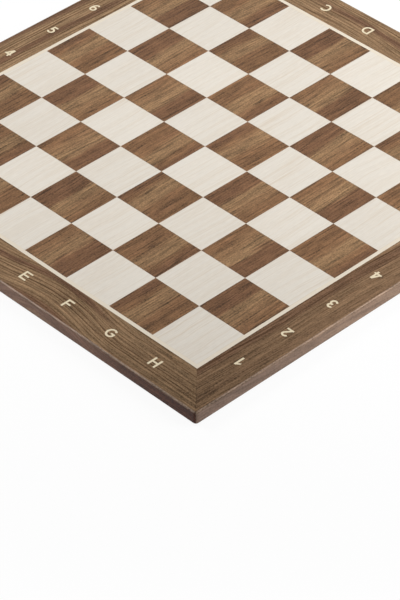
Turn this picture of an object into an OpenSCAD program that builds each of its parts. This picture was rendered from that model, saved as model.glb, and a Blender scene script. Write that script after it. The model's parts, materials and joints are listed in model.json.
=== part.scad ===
// Inlaid wooden chessboard: 64 veneer squares on a core panel, held in four mitred walnut rails.
// +X runs towards the h-file, +Y towards the eighth rank, +Z up. Origin: centre of the board, on the table.

/* [Playing field] */
// Side of one square
square_side = 50; // [35:1:65]
// Thickness of the face and backing veneers
veneer_t = 0.6; // [0.5:0.1:2]
// Width of the light line round the playing field
stringing_w = 3.5; // [1:0.5:10]

/* [Core panel] */
// Thickness of the core without its veneers
core_t = 11; // [8:0.5:18]
// Thickness of the tongue round the core
tongue_t = 4; // [2:0.5:6]
// Length of the tongue beyond the core's shoulder
tongue_l = 6; // [3:0.5:10]

/* [Rails] */
// Width of a rail from the line to the outer face
rail_w = 36.5; // [30:0.5:60]
// Radius of the rounded outer arrises, top and bottom
arris_r = 1.25; // [0.5:0.25:2]
// Radius of the board's four corners in plan
corner_r = 3; // [2.5:0.5:10]

/* [Mitre biscuits] */
// Length of a biscuit along the mitre
biscuit_l = 30; // [20:1:34]
// Width of a biscuit across the mitre
biscuit_w = 12; // [8:1:16]
// Thickness of a biscuit
biscuit_t = 3; // [2:0.5:4]

/* [Felt pads] */
// Diameter of a pad
pad_d = 14; // [8:1:24]
// Thickness of a pad
pad_t = 1; // [0.5:0.5:4]
// Distance from the outer faces to a pad's centre
pad_inset = 18; // [16:1:36]

/* [Fits] */
// Glue clearance on each face of the tongue and of a biscuit
glue_gap = 0.1; // [0.05:0.05:0.3]
// Room for surplus glue past the tongue's tip
glue_well = 0.5; // [0.2:0.1:1]

/* [Hidden] */
$fn = 96;
squares_a_side = 8;
past = 1; // how far a cutter runs past the face that it cuts

field_side = squares_a_side * square_side;
panel_side = field_side + 2 * stringing_w;
board_side = panel_side + 2 * rail_w;
board_t = core_t + 2 * veneer_t;

underside_z = pad_t;
core_z = underside_z + veneer_t;
face_z = core_z + core_t;

groove_t = tongue_t + 2 * glue_gap;
groove_l = tongue_l + glue_well;
biscuit_from_outside = (rail_w - groove_l) / 2;

walnut_veneer = "#7B6048";
maple_veneer = "#DBD2C4";
maple_line = "#E3D5C2";
walnut_solid = "#765D46";
core_board = "#B08F68";
beech = "#D2AE7E";
backing_walnut = "#6E563F";
green_felt = "#2F4A37";

SIDES = ["front", "right", "back", "left"];
CORNERS = ["front_right", "back_right", "back_left", "front_left"];
HALVES = ["left", "right"];

function squares_node(rank, shade) = str("rank_", rank, "_", shade, "_squares");

// A square is light where its file and rank, both counted from 1, add up to an odd number: h1 is light.
function is_light(file, rank) = (file + rank) % 2 == 1;

// Turns what is drawn at the front, or at the front right corner, to the side or corner of that number.
module at_quarter(number) {
    rotate([0, 0, 90 * number]) children();
}

// What a rounding plane takes off an outer arris that lies on the 2D origin, with the wood at negative x.
module arris_waste() {
    difference() {
        translate([-arris_r, -past]) square([arris_r + past, past + arris_r]);
        translate([-arris_r, arris_r]) circle(r = arris_r);
    }
}

// Upright section of the frame's rounded outer edge: x is measured outwards, and ends at the outer face.
module edge_section(width) {
    difference() {
        square([width, board_t]);
        translate([width, 0]) arris_waste();
        translate([width, board_t]) mirror([0, 1]) arris_waste();
    }
}

// Section of a rail from its inner face, with the groove that takes the core's tongue.
module rail_section() {
    difference() {
        edge_section(rail_w);
        translate([-past, (board_t - groove_t) / 2]) square([past + groove_l, groove_t]);
    }
}

// The quarter of the board's plan that belongs to the front side, bounded by the two mitres.
module front_quarter_plan() {
    polygon([[0, 0], [-board_side / 2, -board_side / 2], [board_side / 2, -board_side / 2]]);
}

// The front rail before it is sawn to its mitres: a straight moulding between two rounded board corners.
module rail_blank() {
    straight = board_side - 2 * corner_r;
    translate([straight / 2, -panel_side / 2, 0])
        rotate([90, 0, -90])
            linear_extrude(straight) rail_section();
    corner_round(straight / 2, -90);
    corner_round(-straight / 2, -180);
}

// A rounded board corner about a point on the front rail's line of corner centres.
module corner_round(centre_x, from_angle) {
    translate([centre_x, corner_r - board_side / 2, 0])
        rotate([0, 0, from_angle])
            rotate_extrude(angle = 90) edge_section(corner_r);
}

// Plan of a biscuit, or of its slot where a clearance is given: the lens between two saw-cut arcs.
module biscuit_plan(clearance) {
    half_l = biscuit_l / 2 + clearance;
    half_w = biscuit_w / 2 + clearance;
    arc_r = (half_l * half_l + half_w * half_w) / (2 * half_w);
    intersection() {
        translate([0, arc_r - half_w]) circle(r = arc_r);
        translate([0, half_w - arc_r]) circle(r = arc_r);
    }
}

// A biscuit or its slot, lying across the mitre at the front right corner.
module at_mitre(clearance) {
    thickness = biscuit_t + 2 * clearance;
    off_centre = board_side / 2 - biscuit_from_outside;
    translate([off_centre, -off_centre, underside_z + (board_t - thickness) / 2])
        rotate([0, 0, -45])
            linear_extrude(thickness) biscuit_plan(clearance);
}

module rail() {
    color(walnut_solid)
        difference() {
            translate([0, 0, underside_z])
                intersection() {
                    rail_blank();
                    linear_extrude(board_t) front_quarter_plan();
                }
            at_mitre(glue_gap);
            mirror([1, 0, 0]) at_mitre(glue_gap);
        }
}

module mitre_biscuit() {
    color(beech) at_mitre(0);
}

module core_panel() {
    color(core_board)
        union() {
            translate([-panel_side / 2, -panel_side / 2, core_z]) cube([panel_side, panel_side, core_t]);
            core_tongue();
        }
}

module core_tongue() {
    tongue_side = panel_side + 2 * tongue_l;
    translate([-tongue_side / 2, -tongue_side / 2, core_z + (core_t - tongue_t) / 2])
        cube([tongue_side, tongue_side, tongue_t]);
}

// One of the two backing leaves, jointed on the board's centre line.
module backing_leaf(half) {
    start_x = half == "left" ? -panel_side / 2 : 0;
    color(backing_walnut)
        translate([start_x, -panel_side / 2, underside_z])
            cube([panel_side / 2, panel_side, veneer_t]);
}

module veneer_square(file, rank) {
    translate([(file - 1) * square_side - field_side / 2, (rank - 1) * square_side - field_side / 2, face_z])
        cube([square_side, square_side, veneer_t]);
}

// The four squares of one wood in a rank.
module rank_squares(rank, shade) {
    color(shade == "light" ? maple_veneer : walnut_veneer)
        for (file = [1:squares_a_side])
            if (is_light(file, rank) == (shade == "light"))
                veneer_square(file, rank);
}

// The front strip of the light line, mitred at both ends.
module stringing() {
    inner = field_side / 2;
    outer = panel_side / 2;
    color(maple_line)
        translate([0, 0, face_z])
            linear_extrude(veneer_t)
                polygon([[-outer, -outer], [outer, -outer], [inner, -inner], [-inner, -inner]]);
}

module felt_pad() {
    off_centre = board_side / 2 - pad_inset;
    color(green_felt)
        translate([off_centre, -off_centre, 0]) cylinder(d = pad_d, h = pad_t);
}

core_panel();

for (half = HALVES) {
    backing_leaf(half);
}

for (rank = [1:squares_a_side]) {
    rank_squares(rank, "light");
    rank_squares(rank, "dark");
}

for (i = [0:3]) {
    at_quarter(i) stringing();
    at_quarter(i) rail();
    at_quarter(i) mitre_biscuit();
    at_quarter(i) felt_pad();
}
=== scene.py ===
"""Dresses the inlaid chessboard: the woods, the inlaid notation, the felt pads and the studio round it.

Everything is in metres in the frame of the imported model: +X runs towards the h-file, +Y towards the eighth
rank and +Z up, with the origin at the centre of the board, on the table. Sizes inside a material are in
millimetres, because grain is read that way.
"""

import json
from math import cos, hypot, pi, radians, sin

import bmesh
import bpy
from bpy.props import FloatProperty, FloatVectorProperty, IntProperty, PointerProperty
from bpy.types import Operator, Panel, PropertyGroup
from mathutils import Euler, Matrix, Vector
from mathutils.geometry import delaunay_2d_cdt

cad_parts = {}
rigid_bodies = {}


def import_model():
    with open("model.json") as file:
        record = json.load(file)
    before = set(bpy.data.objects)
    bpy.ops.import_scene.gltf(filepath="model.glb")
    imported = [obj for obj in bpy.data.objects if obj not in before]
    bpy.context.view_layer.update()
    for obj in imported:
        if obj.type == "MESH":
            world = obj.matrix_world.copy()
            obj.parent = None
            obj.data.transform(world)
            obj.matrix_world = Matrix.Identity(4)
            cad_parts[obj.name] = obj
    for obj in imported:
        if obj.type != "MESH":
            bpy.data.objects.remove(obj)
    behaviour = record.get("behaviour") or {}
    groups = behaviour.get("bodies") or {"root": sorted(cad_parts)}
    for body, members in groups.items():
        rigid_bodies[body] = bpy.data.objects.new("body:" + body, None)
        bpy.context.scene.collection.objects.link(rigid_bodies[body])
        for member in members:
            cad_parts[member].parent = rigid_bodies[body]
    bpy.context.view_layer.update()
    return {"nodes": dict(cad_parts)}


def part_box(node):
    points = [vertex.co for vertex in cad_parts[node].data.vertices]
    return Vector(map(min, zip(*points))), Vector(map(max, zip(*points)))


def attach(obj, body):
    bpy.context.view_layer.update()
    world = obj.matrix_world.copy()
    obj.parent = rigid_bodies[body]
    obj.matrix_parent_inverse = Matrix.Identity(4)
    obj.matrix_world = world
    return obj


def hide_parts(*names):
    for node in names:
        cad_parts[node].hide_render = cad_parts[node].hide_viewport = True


bl_info = {
    "name": "Inlaid chessboard",
    "version": (1, 0, 0),
    "blender": (4, 5, 0),
    "location": "3D View > Sidebar > Chessboard",
    "description": "Veneers, rails, inlaid notation and felt pads of a wooden chessboard, with its studio",
    "category": "Object",
}

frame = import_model()

ROOT = "root"
MM = 0.001
SQUARES_A_SIDE = 8
RANKS = range(1, SQUARES_A_SIDE + 1)
SIDES = ("front", "right", "back", "left")
CORNERS = ("front_right", "back_right", "back_left", "front_left")
LETTERS = "ABCDEFGH"
NUMBERS = "12345678"

FIELD_LOW, FIRST_RANK_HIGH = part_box("rank_1_dark_squares")
FIELD_HALF = -FIELD_LOW.x
SQUARE = FIRST_RANK_HIGH.y - FIELD_LOW.y
FACE_Z = FIRST_RANK_HIGH.z
RAIL_LOW, RAIL_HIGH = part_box("front_rail")
BOARD_HALF = -RAIL_LOW.y
RAIL_INNER = -RAIL_HIGH.y
RAIL_WIDTH = BOARD_HALF - RAIL_INNER
PAD_LOW, PAD_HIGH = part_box("felt_pad_back_right")
PAD_CENTRE = (PAD_LOW + PAD_HIGH) / 2
PAD_SIZE = PAD_HIGH - PAD_LOW


def srgb(red, green, blue):
    """A colour written in 0 to 255 display values, as the linear values that shaders use."""
    def linear(value):
        share = value / 255
        return share / 12.92 if share <= 0.04045 else ((share + 0.055) / 1.055) ** 2.4

    return (linear(red), linear(green), linear(blue))


def colour_setting(name, description, default):
    """A colour that shows in the panel."""
    return FloatVectorProperty(
        name=name, description=description, subtype="COLOR", size=3, default=default, min=0, max=1)


def length_setting(name, description, default, low, high):
    """A length that shows in the panel, with its default and its limits in millimetres."""
    return FloatProperty(
        name=name, description=description, default=default * MM, min=low * MM, max=high * MM, unit="LENGTH")


# ---------------------------------------------------------------------------------------------------------
# Shader expressions
# ---------------------------------------------------------------------------------------------------------

def add_node(tree, kind, settings=None, inputs=None):
    """Adds a node of that kind, applies its settings, then fills its sockets with values or links."""
    made = tree.nodes.new(kind)
    for name, value in (settings or {}).items():
        if name == "stops":
            set_stops(made.color_ramp, value)
        else:
            setattr(made, name, value)
    for name, value in (inputs or {}).items():
        if isinstance(value, bpy.types.NodeSocket):
            tree.links.new(value, made.inputs[name])
        else:
            made.inputs[name].default_value = value
    return made


def set_stops(ramp, stops):
    """Gives a colour ramp its stops, and eases from one to the next."""
    ramp.interpolation = "EASE"
    while len(ramp.elements) > 1:
        ramp.elements.remove(ramp.elements[-1])
    for i, (position, colour) in enumerate(stops):
        element = ramp.elements[0] if i == 0 else ramp.elements.new(position)
        element.position = position
        element.color = (*colour, 1)


class Field:
    """A shader socket that can stand in a sum: each operation on values adds the Math node that does it."""

    def __init__(self, graph, socket):
        self.graph = graph
        self.socket = socket

    def math(self, operation, *others):
        return self.graph.node("ShaderNodeMath", {"operation": operation}, dict(enumerate((self, *others))))

    def __add__(self, other):
        return self.math("ADD", other)

    __radd__ = __add__

    def __sub__(self, other):
        return self.math("SUBTRACT", other)

    def __rsub__(self, other):
        return self.graph.node("ShaderNodeMath", {"operation": "SUBTRACT"}, {0: other, 1: self})

    def __mul__(self, other):
        return self.math("MULTIPLY", other)

    __rmul__ = __mul__

    def __truediv__(self, other):
        return self.math("DIVIDE", other)

    def __neg__(self):
        return self.math("MULTIPLY", -1)

    def __abs__(self):
        return self.math("ABSOLUTE")

    def __mod__(self, other):
        return self.math("FLOORED_MODULO", other)

    def __gt__(self, other):
        return self.math("GREATER_THAN", other)

    def power(self, exponent):
        return self.math("POWER", exponent)

    def floor(self):
        return self.math("FLOOR")

    def least(self, other):
        return self.math("MINIMUM", other)

    def rise(self, start, end):
        """Goes smoothly from 0 where the value is at start to 1 where it is at end."""
        settings = {"interpolation_type": "SMOOTHSTEP"}
        return self.graph.node("ShaderNodeMapRange", settings, {"Value": self, 1: start, 2: end})

    def fall(self, start, end):
        """Goes smoothly from 1 where the value is at start to 0 where it is at end."""
        return 1 - self.rise(start, end)


class Graph:
    """The node tree of one material, made anew."""

    def __init__(self, name):
        self.material = bpy.data.materials.new(name)
        self.material.use_nodes = True
        self.tree = self.material.node_tree
        self.tree.nodes.clear()

    def node(self, kind, settings=None, inputs=None, output=0):
        """Adds a node, whose inputs may be fields, and returns one of its outputs as a field."""
        sockets = {name: value.socket if isinstance(value, Field) else value
                   for name, value in (inputs or {}).items()}
        made = add_node(self.tree, kind, settings, sockets)
        return Field(self, made.outputs[output]) if made.outputs else None

    def place(self):
        """The point on the piece in its own frame, as three values in millimetres."""
        point = self.node("ShaderNodeTexCoord", output="Object")
        split = [self.node("ShaderNodeSeparateXYZ", inputs={0: point}, output=i) for i in range(3)]
        return [value / MM for value in split]

    def noise(self, x, y, z=0.0, detail=2.0, roughness=0.5):
        """Noise with features about as large as 1 in each of the three values, between 0 and 1."""
        point = self.node("ShaderNodeCombineXYZ", inputs={0: x, 1: y, 2: z})
        inputs = {"Vector": point, "Scale": 1.0, "Detail": detail, "Roughness": roughness}
        return self.node("ShaderNodeTexNoise", inputs=inputs)

    def chance(self, x, y, z=0.0):
        """One random number from 0 to 1 for each whole x, y and z."""
        point = self.node("ShaderNodeCombineXYZ", inputs={0: x, 1: y, 2: z})
        return self.node("ShaderNodeTexWhiteNoise", {"noise_dimensions": "3D"}, {"Vector": point})

    def ramp(self, value, stops):
        """The colour at a value from 0 to 1 on a ramp with those stops."""
        return self.node("ShaderNodeValToRGB", {"stops": stops}, {0: value})

    def mix(self, share, first, second):
        """Colour mix: the first colour where share is 0, the second where it is 1."""
        def filled(colour):
            return (*colour, 1) if isinstance(colour, tuple) else colour

        inputs = {0: share, 6: filled(first), 7: filled(second)}
        return self.node("ShaderNodeMix", {"data_type": "RGBA"}, inputs, output=2)

    def brighten(self, colour, factor):
        """A colour times a value."""
        return self.node("ShaderNodeVectorMath", {"operation": "SCALE"}, {0: colour, "Scale": factor})

    def bump(self, height, depth_mm):
        """The normal of a surface whose relief is depth_mm deep where height goes from 0 to 1."""
        return self.node("ShaderNodeBump", inputs={
            "Strength": 1.0, "Distance": depth_mm * MM, "Height": height})

    def finish(self, colour, roughness, normal=None, **constants):
        """Ends the tree in one Principled shader."""
        inputs = {"Base Color": colour, "Roughness": roughness}
        if normal is not None:
            inputs["Normal"] = normal
        inputs.update({name.replace("_", " "): value for name, value in constants.items()})
        shader = self.node("ShaderNodeBsdfPrincipled", inputs=inputs)
        self.node("ShaderNodeOutputMaterial", inputs={"Surface": shader})
        return self.material


# ---------------------------------------------------------------------------------------------------------
# Woods and felt
# ---------------------------------------------------------------------------------------------------------

class WoodSettings(PropertyGroup):
    """Colours of the woods, as the lacquered surface shows them."""

    walnut_gold: colour_setting("Walnut gold", "Lightest bands of the walnut veneer", srgb(141, 111, 80))
    walnut_brown: colour_setting("Walnut brown", "Middle tone of the walnut veneer", srgb(127, 94, 66))
    walnut_red: colour_setting(
        "Walnut red brown", "Dark reddish bands of the walnut veneer", srgb(116, 84, 60))
    maple: colour_setting("Maple", "Light squares", srgb(214, 207, 196))
    maple_line: colour_setting("Light line", "Line round the playing field", srgb(217, 206, 188))
    rail_light: colour_setting("Rail light", "Early wood of the walnut rails", srgb(140, 114, 86))
    rail_dark: colour_setting("Rail dark", "Late wood of the walnut rails", srgb(80, 55, 37))
    rail_red: colour_setting("Rail red brown", "Reddish bands of the walnut rails", srgb(106, 79, 61))
    # The side faces' colours lay a painted sheen over the walnut's own brown: the grey-purple of the lacquer
    # mirroring the white floor.
    rail_side_and_sheen: colour_setting("Rail edge", "Purplish brown of the rails' side faces", srgb(147, 115, 99))
    rail_side_grey_sheen: colour_setting(
        "Rail edge grey", "Greyest brown of the rails' side faces", srgb(141, 120, 106))
    # Painted highlight: a lighter colour on the rounded arris stands for the lamps' glint along it.
    rail_arris_highlight: colour_setting(
        "Rail arris", "Rounded arris of the rails, painted lighter", srgb(172, 148, 131))
    notation: colour_setting("Notation", "Letters and numbers let into the rails", srgb(221, 207, 177))
    felt: colour_setting("Felt", "Pads under the corners", srgb(47, 74, 55))


SQUARE_MM = SQUARE / MM
BOARD_HALF_MM = BOARD_HALF / MM

WALNUT_BLUSH = srgb(130, 90, 70)
WALNUT_GLUE = srgb(120, 96, 66)
MAPLE_GRAIN = srgb(190, 168, 138)
# Darker red brown that the rails' side faces take near the corners: painted shade.
RAIL_CORNER_SHADE = srgb(122, 68, 50)
BEECH = srgb(210, 174, 126)
FIBREBOARD = srgb(176, 143, 104)

# The two leaves that the walnut squares are cut from, as tones across a leaf from its left edge to its right.
# G is gold, B brown, GB between the two and R red brown; small letters are darker.
LEAF_TONES = {
    "wide": (
        (0.0, "b"), (0.07, "B"), (0.30, "GB"), (0.46, "G"),
        (0.57, "G"), (0.65, "R"), (0.72, "r"), (1.0, "r")),
    "edged": (
        (0.0, "R"), (0.12, "r"), (0.22, "B"), (0.34, "G"),
        (0.50, "G"), (0.66, "B"), (0.82, "b"), (1.0, "B")),
}
# The leaf that each rank's first walnut square, as cut, comes from. The two leaves take turns from there.
FIRST_LEAF = {
    1: "wide", 2: "wide", 3: "edged", 4: "edged", 5: "edged", 6: "edged", 7: "wide", 8: "wide",
}
# How light the veneer of a rank is, by its first leaf, and how much darker that leaf is in one rank.
RANK_TONE = {"wide": 0.99, "edged": 1.07}
DARKER_FIRST_LEAF = {3: 0.13}


def leaf_stops(wood, leaf):
    """The colour ramp across one walnut leaf."""
    gold = Vector(wood.walnut_gold)
    brown = Vector(wood.walnut_brown)
    red = Vector(wood.walnut_red)
    tones = {"G": gold, "GB": (gold + brown) / 2, "B": brown, "b": brown * 0.88, "R": red, "r": red * 0.92}
    return [(position, tuple(tones[letter])) for position, letter in LEAF_TONES[leaf]]


def cell(graph, x, y):
    """File and rank counted from 0, and the place in the square from its low corner in millimetres."""
    from_left = x + FIELD_HALF / MM
    from_front = y + FIELD_HALF / MM
    file = (from_left / SQUARE_MM).floor()
    rank = (from_front / SQUARE_MM).floor()
    return file, rank, from_left - file * SQUARE_MM, from_front - rank * SQUARE_MM


def joint_line(across, along, width):
    """1 on the glued edges of a square and 0 from that width inwards."""
    inset_across = across.least(SQUARE_MM - across)
    inset_along = along.least(SQUARE_MM - along)
    return inset_across.least(inset_along).fall(0, width)


def growth_lines(rings, width):
    """1 along thin lines, where the noise of the rings crosses its middle, and 0 from that width away."""
    return (abs(rings - 0.5) * 2).fall(0, width)


def walnut_grain(graph, across, along, fibre_seed, strand_seed, pore_seed):
    """Walnut seen close: short fibres and longer strands about 0, pores from 0 to 1, and their relief."""
    fibres = graph.noise(across / 0.7, along / 2, fibre_seed, detail=2) - 0.5
    strands = graph.noise(across / 1.7, along / 15, strand_seed, detail=1) - 0.5
    pores = graph.noise(across / 0.32, along / 4.5, pore_seed, detail=1).rise(0.62, 0.74)
    return fibres, strands, pores, graph.bump(fibres * 0.4 - pores * 0.8, 0.02)


def walnut_square_material(wood, rank):
    """Walnut of one rank: windows on two leaves in turn, turned end for end in every second rank."""
    graph = Graph(f"walnut_veneer_rank_{rank}")
    x, y, _ = graph.place()
    file, _, across, along = cell(graph, x, y)
    edge = joint_line(across, along, 0.9)
    if rank % 2 == 0:
        across = SQUARE_MM - across
        along = SQUARE_MM - along
        file = SQUARES_A_SIDE - 1 - file
    # Where the window lies on its leaf, and how the grain leans, drifts and wanders in it.
    strip = (file / 2).floor()
    length = along + strip * 97 + rank * 211
    lean = (graph.chance(strip, rank, 2) - 0.5) * 0.09
    place = across + along * lean
    drift = (graph.chance(strip, rank) - 0.5) * 0.07
    wander = (graph.noise(length / 45, strip * 7.3, rank) - 0.5) * 0.12
    streaks = graph.noise(place / 1.9, length / 58, strip * 3.1 + rank, detail=3, roughness=0.6) - 0.5
    tatters = graph.noise(place / 2.8, length / 38, strip * 5.7 + rank, detail=2) - 0.5
    position = place / SQUARE_MM + drift + wander + tatters * 0.24
    # The bands of the leaf, then the finer grain over them.
    leaf = FIRST_LEAF[rank]
    other_leaf = "edged" if leaf == "wide" else "wide"
    colour = graph.mix(strip % 2, graph.ramp(position, leaf_stops(wood, leaf)),
                       graph.ramp(position, leaf_stops(wood, other_leaf)))
    fibres, strands, pores, relief = walnut_grain(
        graph, place, length, strip + rank * 5, strip * 7 + rank * 3, strip + rank)
    mottle = graph.noise(across / 12, length / 5, strip * 5 + rank) - 0.5
    rings = graph.noise(place / 2.6, length / 90, strip * 9 + rank * 2, detail=1)
    leaf_tone = RANK_TONE[leaf]
    if rank in DARKER_FIRST_LEAF:
        leaf_tone = leaf_tone - (1 - strip % 2) * DARKER_FIRST_LEAF[rank]
    blush = graph.noise(place / 2.2, length / 24, strip * 2.3 + rank * 4, detail=2).rise(0.5, 0.72)
    colour = graph.mix(blush * 0.16, colour, WALNUT_BLUSH)
    grain = streaks * 1.35 + strands * 1.1 + fibres * 1.8 + mottle * 0.2
    shade = leaf_tone + grain - growth_lines(rings, 0.13) * 0.36 - pores * 0.1 - edge * 0.14
    return graph.finish(graph.brighten(colour, shade), 0.34 + pores * 0.15 + streaks * 0.1, relief,
                        Specular_IOR_Level=0.3)


def maple_square_material(wood):
    """Maple: thin faint growth lines and a silky fleck, each square a little lighter or darker."""
    graph = Graph("maple_veneer")
    x, y, _ = graph.place()
    file, rank, across, along = cell(graph, x, y)
    edge = joint_line(across, along, 0.8)
    length = along + graph.chance(file, rank, 1) * 900
    slant = (graph.chance(file, rank, 2) - 0.5) * 0.10
    wander = (graph.noise(length / 60, file, rank) - 0.5) * 7
    ring_place = across + length * slant + wander
    rings = graph.noise(ring_place / 6.5, length / 160, file * 3 + rank * 7, detail=1.5)
    lines = growth_lines(rings, 0.16)
    fine = graph.noise(ring_place / 1.3, length / 70, file + rank * 3, detail=3, roughness=0.6) - 0.5
    threads = graph.noise(ring_place / 1.1, length / 120, file * 7 + rank * 2, detail=2).rise(0.52, 0.7)
    fleck = graph.noise(across / 0.5, length / 7, file * 5 + rank) - 0.5
    clouds = graph.noise(across / 20, length / 60, rank + file * 2)
    lightness = graph.chance(file, rank, 3) * 0.6 + clouds * 0.8 - 0.35
    plain = graph.mix(lightness, tuple(Vector(wood.maple) * 0.985), tuple(wood.maple))
    colour = graph.mix(lines * 0.12 + threads * 0.26 + edge * 0.16, plain, MAPLE_GRAIN)
    tone = 1.02 + (graph.chance(file, rank, 4) - 0.5) * 0.04 + fine * 0.1 + fleck * 0.22
    return graph.finish(graph.brighten(colour, tone), 0.46 + fine * 0.06, graph.bump(fleck, 0.008))


def line_material(wood):
    """The light line: plain maple with its grain along each strip."""
    graph = Graph("maple_line")
    x, y, _ = graph.place()
    sideways = abs(x) > abs(y)
    along = x + (y - x) * sideways
    across = y + (x - y) * sideways
    fine = graph.noise(across / 0.8, along / 60, detail=3) - 0.5
    return graph.finish(graph.brighten(tuple(wood.maple_line), 1 + fine * 0.08), 0.46)


# How the rings run in each rail, in millimetres: where along it they swing inwards (crest), by how much and
# over what length, and how far they drift outwards over the length of the board. Each reddish band has its
# middle and half its width across the rail, measured from the inner edge, its strength, and its place and
# reach along the rail. Then, as shares: how light the rail is, how red, how strong its weakest rings are, how
# much grey painted sheen its side face has, how much painted shade darkens that face at the corners, and how
# strong the painted highlight on the upper arris is.
RAIL_FIGURE = {
    "front": {
        "crest": 60, "swing": 10, "reach": 85, "drift": -2,
        "bands": ((12, 3.2, 1, 30, 105), (45, 5, 1, 30, 105)),
        "tone": 0.965, "red": 0.14, "ring": 0.25, "grey": 0.0, "painted_corner_shade": 0.6, "arris": 1},
    "right": {
        "crest": -60, "swing": 1.5, "reach": 90, "drift": 19,
        "bands": ((9, 6, 0.5, -120, 480), (35, 4, 0.15, 0, 480)),
        "tone": 0.96, "red": 0.5, "ring": 0.05, "grey": 0.9, "painted_corner_shade": 0.36, "arris": 0.7},
    "back": {
        "crest": -80, "swing": 6, "reach": 110, "drift": 6,
        "bands": ((22, 4, 1, -60, 200), (40, 4, 1, 80, 240)),
        "tone": 0.98, "red": 0.15, "ring": 0.2, "grey": 0.5, "painted_corner_shade": 0.4, "arris": 0.8},
    "left": {
        "crest": 30, "swing": -5, "reach": 140, "drift": -8,
        "bands": ((9, 4, 1, 40, 220), (30, 4, 1, -90, 180)),
        "tone": 1.0, "red": 0.08, "ring": 0.15, "grey": 0.3, "painted_corner_shade": 0.4, "arris": 0.8},
}
RING_SPACING = 3.3


def rail_material(wood, side):
    """Solid walnut with its growth rings along the rail, seen on the face and on the edge alike."""
    graph = Graph(f"walnut_{side}_rail")
    x, y, z = graph.place()
    seed = SIDES.index(side) * 17.0
    figure = RAIL_FIGURE[side]
    along, outwards = {"front": (x, -y), "right": (y, x), "back": (-x, y), "left": (-y, -x)}[side]
    across = outwards - RAIL_INNER / MM
    depth = FACE_Z / MM - z
    # The growth rings: where they run, and how strong each is along its length.
    bulge = abs(along - figure["crest"]).fall(0, figure["reach"]) * figure["swing"]
    sway = (graph.noise(along / 90, seed, 1) - 0.5) * 4 - along * (figure["drift"] / (2 * BOARD_HALF_MM))
    ring_place = across + bulge + sway + depth * 0.45
    crowding = graph.noise(ring_place / 10, along / 130, seed + 2, detail=1) * 2.8
    phase = ring_place / RING_SPACING + crowding
    ring = phase % 1
    number = phase.floor()
    late = ring.rise(0.42, 0.84) * ring.fall(0.86, 0.98)
    strength = graph.chance(number, seed) * 0.85 + figure["ring"]
    fade = graph.noise(phase, along / 80, seed + 3, detail=1).rise(0.1, 0.45)
    # The finer grain, and the reddish bands.
    stripes = graph.noise(ring_place / 3.4, along / 150, seed + 8, detail=1) - 0.5
    streaks = graph.noise(ring_place / 1.2, along / 48, seed + 4, detail=3, roughness=0.6) - 0.5
    fibres, strands, pores, relief = walnut_grain(graph, ring_place, along, seed + 5, seed + 9, seed + 6)
    mottle = graph.noise(across / 14, along / 6, seed + 7) - 0.5
    ragged = ring_place + streaks * 9
    reddish = figure["red"]
    for middle, half_width, share, place, reach in figure["bands"]:
        beside = abs(ragged - middle).fall(half_width * 0.4, half_width * 1.3)
        reddish = reddish + beside * abs(along - place).fall(reach * 0.5, reach) * share
    colour = graph.mix(reddish * 0.85, tuple(wood.rail_light), tuple(wood.rail_red))
    colour = graph.mix(late * strength * fade, colour, tuple(wood.rail_dark))
    # The side face with its painted sheen and its painted shade towards the corners, the painted highlight on
    # the arris, and the mitre.
    edge = depth.rise(0.8, 2) * (outwards - (BOARD_HALF_MM - 1.5)).rise(0, 0.5)
    ends = (abs(along) - 40).rise(0, 200)
    # Painted sheen: the side face takes a greyer, purplish brown, most on the right, as if mirroring the
    # white floor and the right lamp. Towards the corners it turns a darker red brown as painted shade.
    side_sheen_and_shade = tuple(Vector(wood.rail_side_and_sheen).lerp(Vector(wood.rail_side_grey_sheen), figure["grey"]))
    side_sheen_and_shade = graph.mix(ends * (1 - figure["grey"]), side_sheen_and_shade, RAIL_CORNER_SHADE)
    colour = graph.mix(edge * (ends * 0.3 + 0.6), colour, side_sheen_and_shade)
    # Painted highlight: the rounded upper arris is made lighter where the lamps would glint on it.
    arris = depth.fall(0.5, 1.4) * (outwards - (BOARD_HALF_MM - 1.3)).rise(0, 0.8)
    colour = graph.mix(arris * figure["arris"], colour, tuple(wood.rail_arris_highlight))
    # Painted shade: the rail grows darker towards both corners, a little on its top and more on its side
    # face. The side face is also made a little lighter, as part of its painted sheen.
    painted_corner_shade = figure["tone"] * 1.04 + edge * 0.06 - ends * (edge * (figure["painted_corner_shade"] - 0.24) + 0.24)
    mitre = (outwards - abs(along)).fall(0, 0.7)
    grain = (streaks * 1.4 + strands * 0.9 + fibres * 1.5) * (1 - edge * 0.55)
    shade = painted_corner_shade + stripes * 0.7 + grain + mottle * 0.2 - pores * 0.1 - mitre * 0.16
    return graph.finish(graph.brighten(colour, shade), 0.27 + pores * 0.15 + streaks * 0.08, relief,
                        Specular_IOR_Level=0.1)


def notation_material(wood):
    """Light inlay with a hairline of glue round it, which the rim attribute marks."""
    graph = Graph("notation_inlay")
    x, y, _ = graph.place()
    rim = graph.node("ShaderNodeAttribute", {"attribute_name": "rim"}, output="Fac")
    fine = graph.noise(x / 0.6, y / 6, detail=3) - 0.5
    colour = graph.mix(rim.rise(0.45, 1) * 0.6, graph.brighten(tuple(wood.notation), 1 + fine * 0.08),
                       WALNUT_GLUE)
    return graph.finish(colour, 0.45)


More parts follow.
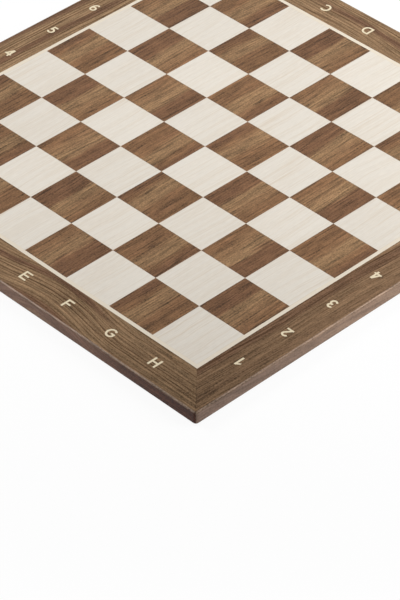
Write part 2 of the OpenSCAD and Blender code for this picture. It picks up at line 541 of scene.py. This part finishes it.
def backing_material(wood):
    """Backing veneer: two leaves opened like a book on the board's centre line."""
    graph = Graph("backing_veneer")
    x, y, _ = graph.place()
    across = abs(x) + (graph.noise(y / 120, 3) - 0.5) * 26
    cathedral = (across * across + (y * 0.22).power(2)).power(0.5)
    rings = graph.noise(cathedral / 4, y / 500, 11, detail=3, roughness=0.6)
    fine = graph.noise(across / 0.8, y / 60, 12, detail=2) - 0.5
    pores = graph.noise(across / 0.35, y / 5, 13, detail=1).rise(0.62, 0.72)
    colour = graph.mix(rings.rise(0.2, 0.66), tuple(wood.rail_dark), tuple(wood.walnut_brown))
    shade = 1 + fine * 0.3 - pores * 0.2
    return graph.finish(graph.brighten(colour, shade), 0.62 + pores * 0.1, graph.bump(fine - pores, 0.03))


def fibreboard_material():
    """Pressed fibres of the core."""
    graph = Graph("fibreboard_core")
    x, y, z = graph.place()
    fibres = graph.noise(x / 0.6, y / 0.6, z / 0.25, detail=4) - 0.5
    clouds = graph.noise(x / 9, y / 9, z / 3) - 0.5
    return graph.finish(graph.brighten(FIBREBOARD, 1 + fibres * 0.3 + clouds * 0.15), 0.85,
                        graph.bump(fibres, 0.05))


def beech_material():
    """Compressed beech with its short dark flecks."""
    graph = Graph("beech_biscuit")
    x, y, z = graph.place()
    flecks = graph.noise(x / 0.7, y / 2.2, z, detail=2).rise(0.58, 0.7)
    return graph.finish(graph.brighten(BEECH, 1 - flecks * 0.22), 0.7, graph.bump(flecks, 0.04))


def felt_material(wood):
    """Dense wool felt: matted fibres, paler where they stand up."""
    graph = Graph("wool_felt")
    x, y, z = graph.place()
    mat = graph.noise(x / 0.35, y / 0.35, z / 0.35, detail=4, roughness=0.7)
    clumps = graph.noise(x / 1.6, y / 1.6, z / 1.6) - 0.5
    colour = graph.brighten(tuple(wood.felt), 0.55 + mat * 0.9 + clumps * 0.4)
    return graph.finish(colour, 0.95, graph.bump(mat, 0.25), Sheen_Weight=0.4, Sheen_Roughness=0.6)


def dress(node, material):
    """Gives a node of the frame its material, in every slot."""
    mesh = frame["nodes"][node].data
    mesh.materials.clear()
    mesh.materials.append(material)


class CHESSBOARD_OT_walnut_squares(Operator):
    """Dress the walnut squares, rank by rank, in veneer cut from two leaves"""

    bl_idname = "chessboard.walnut_squares"
    bl_label = "Walnut squares"

    def execute(self, context):
        wood = context.scene.chessboard_wood
        for rank in RANKS:
            dress(f"rank_{rank}_dark_squares", walnut_square_material(wood, rank))
        return {"FINISHED"}


class CHESSBOARD_OT_maple_squares(Operator):
    """Dress the maple squares"""

    bl_idname = "chessboard.maple_squares"
    bl_label = "Maple squares"

    def execute(self, context):
        maple = maple_square_material(context.scene.chessboard_wood)
        for rank in RANKS:
            dress(f"rank_{rank}_light_squares", maple)
        return {"FINISHED"}


class CHESSBOARD_OT_frame(Operator):
    """Dress the rails and the light line inside them"""

    bl_idname = "chessboard.frame"
    bl_label = "Rails and line"

    def execute(self, context):
        wood = context.scene.chessboard_wood
        line = line_material(wood)
        for side in SIDES:
            dress(f"{side}_rail", rail_material(wood, side))
            dress(f"{side}_stringing", line)
        return {"FINISHED"}


class CHESSBOARD_OT_hidden_pieces(Operator):
    """Dress the core, the backing leaves and the biscuits in the mitres"""

    bl_idname = "chessboard.hidden_pieces"
    bl_label = "Core, backing and biscuits"

    def execute(self, context):
        backing = backing_material(context.scene.chessboard_wood)
        beech = beech_material()
        dress("core_panel", fibreboard_material())
        for half in ("left", "right"):
            dress(f"backing_veneer_{half}", backing)
        for corner in CORNERS:
            dress(f"mitre_biscuit_{corner}", beech)
        return {"FINISHED"}


# ---------------------------------------------------------------------------------------------------------
# Shapes
# ---------------------------------------------------------------------------------------------------------

def arc(centre_x, centre_y, radius_x, radius_y, start, end, steps=20):
    """Points on an ellipse, from one angle in degrees to another."""
    turns = [radians(start + (end - start) * i / steps) for i in range(steps + 1)]
    return [(centre_x + radius_x * cos(turn), centre_y + radius_y * sin(turn)) for turn in turns]


def quarter_round(outer, radius):
    """Radius and height along a round that leaves the ground at a tangent and stands upright at outer."""
    return arc(outer - radius, radius, radius, radius, -90, 0, steps=6)


def add_rings(shape, outline, sides):
    """Adds rings of vertices round the upright axis, one for each radius and height of the outline."""
    turns = [2 * pi * i / sides for i in range(sides)]
    return [[shape.verts.new((radius * cos(turn), radius * sin(turn), height)) for turn in turns]
            for radius, height in outline]


def finished_mesh(name, shape):
    """Turns a shape in the making into a mesh."""
    mesh = bpy.data.meshes.new(name)
    shape.to_mesh(mesh)
    shape.free()
    return mesh


# ---------------------------------------------------------------------------------------------------------
# Geometry Nodes
# ---------------------------------------------------------------------------------------------------------

class NodeGroup:
    """A Geometry Nodes tree made anew, with named inputs and one geometry output."""

    def __init__(self, name, inputs):
        self.tree = bpy.data.node_groups.new(name, "GeometryNodeTree")
        self.tree.interface.new_socket("Geometry", in_out="INPUT", socket_type="NodeSocketGeometry")
        for label, kind in inputs.items():
            self.tree.interface.new_socket(label, in_out="INPUT", socket_type=kind)
        self.tree.interface.new_socket("Geometry", in_out="OUTPUT", socket_type="NodeSocketGeometry")
        self.given = add_node(self.tree, "NodeGroupInput").outputs

    def node(self, kind, settings=None, inputs=None, output=0):
        """Adds a node and returns one of its outputs."""
        return add_node(self.tree, kind, settings, inputs).outputs[output]

    def deliver(self, geometry):
        """Ends the tree in its output and returns it."""
        add_node(self.tree, "NodeGroupOutput", inputs={"Geometry": geometry})
        return self.tree


def grow(name, tree, values):
    """Runs a Geometry Nodes tree with the values of its inputs, and returns its result as one plain mesh."""
    carrier = bpy.data.objects.new(f"{name}_carrier", bpy.data.meshes.new(f"{name}_carrier"))
    bpy.context.scene.collection.objects.link(carrier)
    modifier = carrier.modifiers.new("nodes", "NODES")
    modifier.node_group = tree
    for item in tree.interface.items_tree:
        if item.item_type == "SOCKET" and item.in_out == "INPUT" and item.name in values:
            modifier[item.identifier] = values[item.name]
    bpy.context.view_layer.update()
    evaluated = carrier.evaluated_get(bpy.context.evaluated_depsgraph_get())
    mesh = bpy.data.meshes.new_from_object(evaluated)
    carrier.modifiers.remove(modifier)
    bpy.data.objects.remove(carrier)
    mesh.name = name
    piece = bpy.data.objects.new(name, mesh)
    bpy.context.scene.collection.objects.link(piece)
    return piece


# ---------------------------------------------------------------------------------------------------------
# Notation
# ---------------------------------------------------------------------------------------------------------

class NotationSettings(PropertyGroup):
    """Sizes of the letters and numbers let into the rails."""

    height: length_setting("Height", "Height of a letter", 10.2, 4, 20)
    stroke: FloatProperty(
        name="Stroke", description="Width of a stroke as a share of the height", default=0.19, min=0.1,
        max=0.28, subtype="FACTOR")
    thickness: length_setting("Thickness", "Thickness of the inlay", 0.5, 0.1, 1)
    glue: length_setting("Glue line", "Width of the line of glue round an inlay", 0.12, 0.05, 0.3)
    slip: length_setting("Slip", "How far a row sits off the middle of its squares", 0.6, -2, 2)
    inwards: length_setting(
        "Inwards", "How far a row sits off the middle of its rail, towards the squares", 0.5, -2, 2)
    proud: length_setting("Proud", "How far the inlay stands above the rail", 0.03, 0, 0.1)


# Letters and numbers are drawn at one height and scaled to the height that is set. A letter is centred on its
# own width, and a number on one width that all numbers share. A stroke's level runs are thinner by a share.
DRAWN_HEIGHT = 10
DIGIT_WIDTH = 6.9
LEVEL_SHARE = 0.86


def stroke_quads(points, width):
    """A stroke along the points, with square ends, as a chain of quads."""
    closed = hypot(points[0][0] - points[-1][0], points[0][1] - points[-1][1]) < 1e-6
    rim = []
    for i, (x, y) in enumerate(points):
        before = points[i - 1] if i > 0 else (points[-2] if closed else points[0])
        after = points[i + 1] if i < len(points) - 1 else (points[1] if closed else points[-1])
        run = Vector((after[0] - before[0], after[1] - before[1])).normalized()
        side = Vector((-run.y, run.x)) * width / 2 * (LEVEL_SHARE + (1 - LEVEL_SHARE) * abs(run.y))
        rim.append((Vector((x, y)) + side, Vector((x, y)) - side))
    return [(rim[i][0], rim[i][1], rim[i + 1][1], rim[i + 1][0]) for i in range(len(rim) - 1)]


def slant(foot_x, foot_y, head_x, head_y, width):
    """A slanting stroke whose two ends are cut level."""
    half = width / 2 * hypot(1, (head_x - foot_x) / (head_y - foot_y))
    return [(Vector((foot_x - half, foot_y)), Vector((foot_x + half, foot_y)),
             Vector((head_x + half, head_y)), Vector((head_x - half, head_y)))]


def glyph_quads(glyph, width):
    """The strokes of one letter or number as drawn, with stems of that width, as quads."""
    half = width / 2
    low = LEVEL_SHARE * half
    top = DRAWN_HEIGHT - low

    def stem(x, foot=0, head=DRAWN_HEIGHT):
        return stroke_quads([(x, foot), (x, head)], width)

    def bar(y, left, right):
        return stroke_quads([(left, y), (right, y)], width)

    def bow(*shape, before=(), after=()):
        return stroke_quads([*before, *arc(*shape), *after], width)

    def bowl(x, radius, foot, head):
        """A half round to the right of a stem, between two levels."""
        return bow(x, (foot + head) / 2, radius, (head - foot) / 2, 90, -90,
                   before=[(half, head)], after=[(half, foot)])

    if glyph == "A":
        return slant(1.1, 0, 4.8, 10, width) + slant(8.5, 0, 4.8, 10, width) + bar(3.1, 2.2, 7.4)
    if glyph == "B":
        return stem(half) + bowl(4.9, 2.0, 5.2, top) + bowl(5.1, 2.3, low, 5.2)
    if glyph == "C":
        return bow(4.8, 5, 4.8 - half, 5 - low, 44, 316)
    if glyph == "D":
        return stem(half) + bowl(4.2, 3.8, low, top)
    if glyph == "E":
        return stem(half) + bar(top, half, 7.6) + bar(5.1, half, 7.1) + bar(low, half, 7.8)
    if glyph == "F":
        return stem(half) + bar(top, half, 7.0) + bar(4.9, half, 6.3)
    if glyph == "G":
        return (bow(4.7, 5, 4.7 - half, 5 - low, 42, 320) + stem(7.9, 1.9, 5.5)
                + bar(5.5 - low, 4.8, 7.9 + half))
    if glyph == "H":
        return stem(half) + stem(8.1 - half) + bar(5.1, half, 8.1 - half)
    if glyph == "1":
        flag = [Vector(point) for point in ((1.4, 7.4), (1.4, 5.8), (4.2, 7.6), (4.6, 10))]
        return stem(5.0) + [flag]
    if glyph == "2":
        return bow(3.4, 7.1, 2.4, 2.9 - low, 165, -40, after=[(1.3, low)]) + bar(low, 0.1, 6.9)
    if glyph == "3":
        return (bow(3.2, 7.3, 2.1, 2.7 - low, 155, -90, after=[(2.3, 5.46)])
                + bow(3.2, 3.16, 2.4, 3.16 - low, 90, -155, before=[(2.3, 5.46)]))
    if glyph == "4":
        return stem(5.1) + bar(2.8, 0, 7.3) + slant(1.3, 2.2, 4.7, 10, width)
    if glyph == "5":
        return (bar(top, 1.4, 6.2) + slant(1.6, 4.6, 2.3, 10, width * 0.9)
                + bow(3.3, 3.4, 2.6, 3.4 - low, 128, -155))
    if glyph == "6":
        return bow(3.5, 3.2, 2.5, 3.2 - low, 0, 360) + bow(4.2, 4.4, 3.2, 5.6 - low, 62, 190)
    if glyph == "7":
        return bar(top, 0.3, 6.7) + slant(2.6, 0, 5.4, 9.2, width)
    return bow(3.5, 7.3, 2.0, 2.7 - low, 0, 360) + bow(3.5, 3.15, 2.4, 3.15 - low, 0, 360)


def glyph_mesh(glyph, settings):
    """One inlay, centred on its own origin, its top at z = 0, with the rim attribute 1 round its outline."""
    quads = glyph_quads(glyph, settings.stroke * DRAWN_HEIGHT)
    points = [corner for quad in quads for corner in quad]
    loops = [list(range(i, i + 4)) for i in range(0, len(points), 4)]
    merged, _, cells, _, _, sources = delaunay_2d_cdt(points, [], loops, 1, 1e-3)
    triangles = [cell for cell, source in zip(cells, sources) if source]
    used = sorted({i for triangle in triangles for i in triangle})
    left = min(merged[i].x for i in used)
    right = max(merged[i].x for i in used)
    middle_x = DIGIT_WIDTH / 2 if glyph in NUMBERS else (left + right) / 2
    scale = settings.height / DRAWN_HEIGHT
    shape = bmesh.new()
    corners = {}
    for i in used:
        x = (merged[i].x - middle_x) * scale
        y = (merged[i].y - DRAWN_HEIGHT / 2) * scale
        corners[i] = shape.verts.new((x, y, 0))
    for triangle in triangles:
        shape.faces.new([corners[i] for i in triangle])
    shape.normal_update()
    bmesh.ops.dissolve_limit(shape, angle_limit=radians(1), verts=shape.verts, edges=shape.edges)
    rim = shape.verts.layers.float.new("rim")
    bmesh.ops.inset_region(
        shape, faces=shape.faces, thickness=settings.glue, use_boundary=True, use_even_offset=True)
    outline = [edge for edge in shape.edges if edge.is_boundary]
    for edge in outline:
        for vertex in edge.verts:
            vertex[rim] = 1
    walls = bmesh.ops.extrude_edge_only(shape, edges=outline)["geom"]
    lowered = [item for item in walls if isinstance(item, bmesh.types.BMVert)]
    bmesh.ops.translate(shape, verts=lowered, vec=(0, 0, -settings.thickness))
    underside = [item for item in walls if isinstance(item, bmesh.types.BMEdge) and item.is_boundary]
    bmesh.ops.triangle_fill(shape, edges=underside, use_beauty=True)
    bmesh.ops.recalc_face_normals(shape, faces=shape.faces)
    return finished_mesh(f"glyph_{glyph}", shape)


def glyph_collection(name, glyphs, settings):
    """A collection of the inlays, in reading order by name."""
    collection = bpy.data.collections.new(name)
    for glyph in glyphs:
        collection.objects.link(bpy.data.objects.new(f"glyph_{glyph}", glyph_mesh(glyph, settings)))
    return collection


def notation_tree():
    """Sets one glyph of a collection on each of a row of points."""
    group = NodeGroup("notation_row", {
        "Glyphs": "NodeSocketCollection", "First": "NodeSocketVector", "Step": "NodeSocketVector",
        "Count": "NodeSocketInt", "Turn": "NodeSocketFloat", "Material": "NodeSocketMaterial"})
    given = group.given
    row = group.node("GeometryNodeMeshLine", {"mode": "OFFSET"},
                     {"Count": given["Count"], "Start Location": given["First"], "Offset": given["Step"]})
    glyphs = group.node("GeometryNodeCollectionInfo", {"transform_space": "ORIGINAL"},
                        {"Collection": given["Glyphs"], "Separate Children": True, "Reset Children": True})
    turn = group.node("ShaderNodeCombineXYZ", inputs={"Z": given["Turn"]})
    rotation = group.node("FunctionNodeEulerToRotation", inputs={0: turn})
    index = group.node("GeometryNodeInputIndex")
    placed = group.node("GeometryNodeInstanceOnPoints", inputs={
        "Points": row, "Instance": glyphs, "Pick Instance": True, "Instance Index": index,
        "Rotation": rotation})
    solid = group.node("GeometryNodeRealizeInstances", inputs={"Geometry": placed})
    return group.deliver(group.node("GeometryNodeSetMaterial", inputs={
        "Geometry": solid, "Material": given["Material"]}))


class CHESSBOARD_OT_notation(Operator):
    """Let the letters and numbers into the rails, upright for the player at each end"""

    bl_idname = "chessboard.notation"
    bl_label = "Notation"

    def execute(self, context):
        settings = context.scene.chessboard_notation
        material = notation_material(context.scene.chessboard_wood)
        letters = glyph_collection("letters", LETTERS, settings)
        numbers = glyph_collection("numbers", NUMBERS, settings)
        tree = notation_tree()
        first = SQUARE / 2 - FIELD_HALF + settings.slip
        middle = RAIL_INNER + RAIL_WIDTH / 2 - settings.inwards
        z = FACE_Z + settings.proud
        rows = {
            "front_letters": (letters, (first, -middle, z), (SQUARE, 0, 0), 0.0),
            "back_letters": (letters, (first, middle, z), (SQUARE, 0, 0), pi),
            "left_numbers": (numbers, (-middle, first, z), (0, SQUARE, 0), 0.0),
            "right_numbers": (numbers, (middle, first, z), (0, SQUARE, 0), pi),
        }
        for name, (glyphs, start, step, turn) in rows.items():
            piece = grow(name, tree, {"Glyphs": glyphs, "First": start, "Step": step, "Count": SQUARES_A_SIDE,
                                      "Turn": turn, "Material": material})
            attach(piece, ROOT)
        for collection in (letters, numbers):
            for glyph in list(collection.objects):
                bpy.data.objects.remove(glyph)
            bpy.data.collections.remove(collection)
        return {"FINISHED"}


# ---------------------------------------------------------------------------------------------------------
# Felt pads
# ---------------------------------------------------------------------------------------------------------

class PadSettings(PropertyGroup):
    """Form of the felt pads."""

    edge: length_setting("Edge", "Radius of a pad's worn lower edge", 0.35, 0.1, 0.8)
    fuzz: length_setting("Fuzz", "How uneven the felt is", 0.10, 0, 0.3)
    facets: IntProperty(name="Facets", description="Sides of a pad", default=72, min=24, max=160)


# How many rings of vertices span a pad's underside, and how many tufts of its felt lie along a metre.
PAD_RINGS = 8
FUZZ_PER_METRE = 1600.0


def pad_outline(edge):
    """Radius and height up a pad, from just off the middle of its underside to the rim of its top."""
    radius = PAD_SIZE.x / 2
    underside = [(radius * i / PAD_RINGS, 0) for i in range(1, PAD_RINGS)]
    return underside + quarter_round(radius, edge) + [(radius, PAD_SIZE.z * 0.7), (radius, PAD_SIZE.z)]


def pad_mesh(settings):
    """One pad on its own origin: its outline turned round the upright axis, closed on top."""
    shape = bmesh.new()
    rings = add_rings(shape, pad_outline(settings.edge), settings.facets)
    centre = shape.verts.new((0, 0, 0))
    for i in range(settings.facets):
        j = (i + 1) % settings.facets
        shape.faces.new((centre, rings[0][j], rings[0][i]))
        for low, high in zip(rings, rings[1:]):
            shape.faces.new((low[i], low[j], high[j], high[i]))
    shape.faces.new(rings[-1])
    bmesh.ops.recalc_face_normals(shape, faces=shape.faces)
    return finished_mesh("pad", shape)


def pad_tree():
    """Sets a pad under each corner of the board and roughens its felt inwards."""
    group = NodeGroup("felt_pads", {
        "Pad": "NodeSocketObject", "Spacing": "NodeSocketFloat", "Fuzz": "NodeSocketFloat",
        "Material": "NodeSocketMaterial"})
    given = group.given
    corners = group.node("GeometryNodeMeshGrid", inputs={
        "Size X": given["Spacing"], "Size Y": given["Spacing"], "Vertices X": 2, "Vertices Y": 2})
    pad = group.node("GeometryNodeObjectInfo", inputs={"Object": given["Pad"]}, output="Geometry")
    placed = group.node("GeometryNodeInstanceOnPoints", inputs={"Points": corners, "Instance": pad})
    solid = group.node("GeometryNodeRealizeInstances", inputs={"Geometry": placed})
    position = group.node("GeometryNodeInputPosition")
    fuzz = group.node("ShaderNodeTexNoise", inputs={
        "Vector": position, "Scale": FUZZ_PER_METRE, "Detail": 3.0})
    inwards = group.node("ShaderNodeMath", {"operation": "MULTIPLY"}, {0: fuzz, 1: given["Fuzz"]})
    negative = group.node("ShaderNodeMath", {"operation": "MULTIPLY"}, {0: inwards, 1: -1.0})
    offset = group.node("ShaderNodeVectorMath", {"operation": "SCALE"}, {
        0: group.node("GeometryNodeInputNormal"), "Scale": negative})
    rough = group.node("GeometryNodeSetPosition", inputs={"Geometry": solid, "Offset": offset})
    return group.deliver(group.node("GeometryNodeSetMaterial", inputs={
        "Geometry": rough, "Material": given["Material"]}))


class CHESSBOARD_OT_felt_pads(Operator):
    """Glue a felt pad under each corner"""

    bl_idname = "chessboard.felt_pads"
    bl_label = "Felt pads"

    def execute(self, context):
        settings = context.scene.chessboard_pads
        pattern = bpy.data.objects.new("pad_pattern", pad_mesh(settings))
        pads = grow("felt_pads", pad_tree(), {
            "Pad": pattern, "Spacing": 2 * PAD_CENTRE.x, "Fuzz": settings.fuzz,
            "Material": felt_material(context.scene.chessboard_wood)})
        bpy.data.objects.remove(pattern)
        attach(pads, ROOT)
        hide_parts(*(f"felt_pad_{corner}" for corner in CORNERS))
        return {"FINISHED"}


# ---------------------------------------------------------------------------------------------------------
# Studio
# ---------------------------------------------------------------------------------------------------------

# The floor is flat round the board, sweeps up in a quarter round and ends in an upright wall.
FLOOR_SIDES = 48
FLOOR_RADIUS = 6
FLOOR_SWEEP = 1.5
FLOOR_WALL_TOP = 2.5
# How far from the middle of the board, in millimetres, the floor begins to lose its shadow and has lost it.
SHADOW_FADES = 340
SHADOW_ENDS = 700

WORLD_STRENGTH = 0.19


class StudioSettings(PropertyGroup):
    """The camera, the lamps and the floor."""

    aim: FloatVectorProperty(
        name="Aim", description="Point on the board's face that the camera looks at", size=2,
        default=(0.1449, -0.1444), unit="LENGTH")
    azimuth: FloatProperty(
        name="Azimuth", description="Where the camera stands, round from the front", default=radians(46.979),
        unit="ROTATION")
    elevation: FloatProperty(
        name="Elevation", description="How far the camera looks down", default=radians(38.944),
        unit="ROTATION")
    roll: FloatProperty(
        name="Roll", description="Turn of the camera about its line of sight", default=radians(-1.128),
        unit="ROTATION")
    distance: FloatProperty(
        name="Distance", description="From the camera to the aim", default=2.3478, unit="LENGTH")
    lens: FloatProperty(name="Lens", description="Focal length in millimetres", default=179.72, unit="CAMERA")
    floor_colour: colour_setting("Floor", "Colour of the floor", (0.93, 0.93, 0.93))
    floor_white: FloatProperty(
        name="Floor white", description="How far the floor shows as plain white, over its shading",
        default=0.92, min=0, max=1, subtype="FACTOR")


def studio_lamp(name, size, power, place, target, mirrored=True):
    """A square soft lamp at a place, turned to the target. The board can be kept from mirroring it."""
    light = bpy.data.lights.new(name, "AREA")
    light.shape = "SQUARE"
    light.size = size
    light.energy = power
    lamp = bpy.data.objects.new(name, light)
    lamp.location = place
    lamp.rotation_euler = (Vector(target) - Vector(place)).to_track_quat("-Z", "Y").to_euler()
    lamp.visible_glossy = mirrored
    bpy.context.scene.collection.objects.link(lamp)


def floor_material(settings):
    """Pale floor that keeps the shadow, and shows white to the camera, wholly so away from the board."""
    graph = Graph("studio_floor")
    x, y, _ = graph.place()
    far = (x * x + y * y).power(0.5).rise(SHADOW_FADES, SHADOW_ENDS)
    diffuse = graph.node("ShaderNodeBsdfDiffuse", inputs={"Color": (*settings.floor_colour, 1)})
    white = graph.node("ShaderNodeEmission", inputs={"Color": (1, 1, 1, 1), "Strength": 1.0})
    seen, mirrored, through = [graph.node("ShaderNodeLightPath", output=f"Is {ray} Ray")
                               for ray in ("Camera", "Glossy", "Transmission")]
    share = (seen + mirrored + through) * (far * (1 - settings.floor_white) + settings.floor_white)
    shader = graph.node("ShaderNodeMixShader", inputs={0: share, 1: diffuse, 2: white})
    graph.node("ShaderNodeOutputMaterial", inputs={"Surface": shader})
    return graph.material


class CHESSBOARD_OT_studio(Operator):
    """Set up the floor, the lamps, the world and the camera"""

    bl_idname = "chessboard.studio"
    bl_label = "Studio"

    def execute(self, context):
        settings = context.scene.chessboard_studio
        self.add_camera(context.scene, settings)
        self.add_floor(settings)
        self.add_light(context.scene)
        context.scene.view_settings.view_transform = "Standard"
        return {"FINISHED"}

    @staticmethod
    def add_camera(scene, settings):
        """The camera at its distance from the aim, looking down on it."""
        lens = bpy.data.cameras.new("studio_camera")
        lens.sensor_width = 36
        lens.sensor_fit = "AUTO"
        lens.lens = settings.lens
        camera = bpy.data.objects.new("studio_camera", lens)
        turn = Euler((pi / 2 - settings.elevation, 0, settings.azimuth), "XYZ").to_matrix()
        aim = Vector((*settings.aim, FACE_Z))
        camera.location = aim + turn @ Vector((0, 0, settings.distance))
        camera.rotation_euler = (turn @ Matrix.Rotation(settings.roll, 3, "Z")).to_euler()
        scene.collection.objects.link(camera)
        scene.camera = camera

    @staticmethod
    def add_floor(settings):
        """A round floor that sweeps up into a backdrop on all sides."""
        outline = quarter_round(FLOOR_RADIUS, FLOOR_SWEEP) + [(FLOOR_RADIUS, FLOOR_WALL_TOP)]
        shape = bmesh.new()
        rings = add_rings(shape, outline, FLOOR_SIDES)
        shape.faces.new(rings[0])
        for inner, outer in zip(rings, rings[1:]):
            for i in range(FLOOR_SIDES):
                j = (i + 1) % FLOOR_SIDES
                shape.faces.new((inner[i], outer[i], outer[j], inner[j]))
        mesh = finished_mesh("studio_floor", shape)
        mesh.materials.append(floor_material(settings))
        floor = bpy.data.objects.new("studio_floor", mesh)
        bpy.context.scene.collection.objects.link(floor)

    @staticmethod
    def add_light(scene):
        """Two softboxes at the back right, one at the front left, and a dim white world."""
        beyond_back_left = (-0.8, 0.8, 0)
        studio_lamp("back_softbox", 0.9, 10.1, (0.38, 0.54, 0.8), beyond_back_left)
        studio_lamp("right_softbox", 1.2, 26.5, (1.58, 1.08, 0.59), beyond_back_left, mirrored=False)
        studio_lamp("left_softbox", 0.4, 6.2, (-0.62, -0.45, 0.82), (-0.1, -0.1, 0))
        world = bpy.data.worlds.new("studio_world")
        world.use_nodes = True
        background = world.node_tree.nodes["Background"]
        background.inputs["Color"].default_value = (1, 1, 1, 1)
        background.inputs["Strength"].default_value = WORLD_STRENGTH
        scene.world = world


# ---------------------------------------------------------------------------------------------------------
# Panel and running order
# ---------------------------------------------------------------------------------------------------------

STEPS = (
    CHESSBOARD_OT_studio, CHESSBOARD_OT_walnut_squares, CHESSBOARD_OT_maple_squares, CHESSBOARD_OT_frame,
    CHESSBOARD_OT_hidden_pieces, CHESSBOARD_OT_notation, CHESSBOARD_OT_felt_pads,
)
SETTINGS = {
    "chessboard_wood": WoodSettings,
    "chessboard_notation": NotationSettings,
    "chessboard_pads": PadSettings,
    "chessboard_studio": StudioSettings,
}


class CHESSBOARD_PT_panel(Panel):
    """Steps and settings of the chessboard"""

    bl_idname = "CHESSBOARD_PT_panel"
    bl_label = "Chessboard"
    bl_space_type = "VIEW_3D"
    bl_region_type = "UI"
    bl_category = "Chessboard"

    def draw(self, context):
        for step in STEPS:
            self.layout.operator(step.bl_idname)
        for name, group in SETTINGS.items():
            box = self.layout.box()
            for field in group.__annotations__:
                box.prop(getattr(context.scene, name), field)


def register():
    for settings in SETTINGS.values():
        bpy.utils.register_class(settings)
    for name, settings in SETTINGS.items():
        setattr(bpy.types.Scene, name, PointerProperty(type=settings))
    for operator in STEPS:
        bpy.utils.register_class(operator)
    bpy.utils.register_class(CHESSBOARD_PT_panel)


def unregister():
    bpy.utils.unregister_class(CHESSBOARD_PT_panel)
    for operator in reversed(STEPS):
        bpy.utils.unregister_class(operator)
    for name, settings in SETTINGS.items():
        delattr(bpy.types.Scene, name)
        bpy.utils.unregister_class(settings)


def main():
    register()
    bpy.ops.chessboard.studio()
    bpy.ops.chessboard.walnut_squares()
    bpy.ops.chessboard.maple_squares()
    bpy.ops.chessboard.frame()
    bpy.ops.chessboard.hidden_pieces()
    bpy.ops.chessboard.notation()
    bpy.ops.chessboard.felt_pads()


if __name__ == "__main__":
    main()
